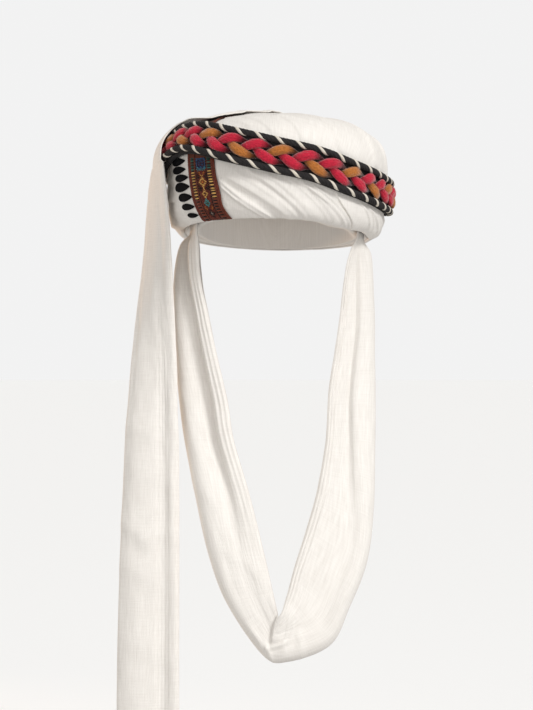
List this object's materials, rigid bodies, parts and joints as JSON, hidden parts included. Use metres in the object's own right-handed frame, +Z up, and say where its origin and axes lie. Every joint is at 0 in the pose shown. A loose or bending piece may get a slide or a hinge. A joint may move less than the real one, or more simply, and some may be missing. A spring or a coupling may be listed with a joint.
{
  "type": "turban",
  "caption": "Wound white cotton turban with a plaited wool band, an embroidered border, black drops, a long tail and a loop hanging under the chin.",
  "frame": {"origin": "middle of the head opening at brow level, where the turban sits on a head", "axes": "+Z up, -Y the front of the turban, +X the side away from the tail"},
  "size_m": [0.2803, 0.2737, 0.6714],
  "materials": {
    "white_cotton": "matt plain weave",
    "brown_embroidery": "dense thread embroidery",
    "black_thread": "twisted thread",
    "red_wool": "soft fuzzy wool",
    "orange_wool": "soft fuzzy wool"
  },
  "bodies": {
    "root": {"crown_wrap": "white_cotton", "brow_wrap": "white_cotton", "outer_wrap": "white_cotton", "tail": "white_cotton", "chin_loop": "white_cotton", "embroidered_strip": "brown_embroidery", "teardrop_1": "black_thread", "teardrop_2": "black_thread", "teardrop_3": "black_thread", "teardrop_4": "black_thread", "teardrop_5": "black_thread", "teardrop_6": "black_thread", "teardrop_7": "black_thread", "braid_ground": "black_thread", "edge_cord_upper": "black_thread", "edge_cord_lower": "black_thread", "plait_red_a": "red_wool", "plait_red_b": "red_wool", "plait_orange": "orange_wool"}
  },
  "joints": []
}
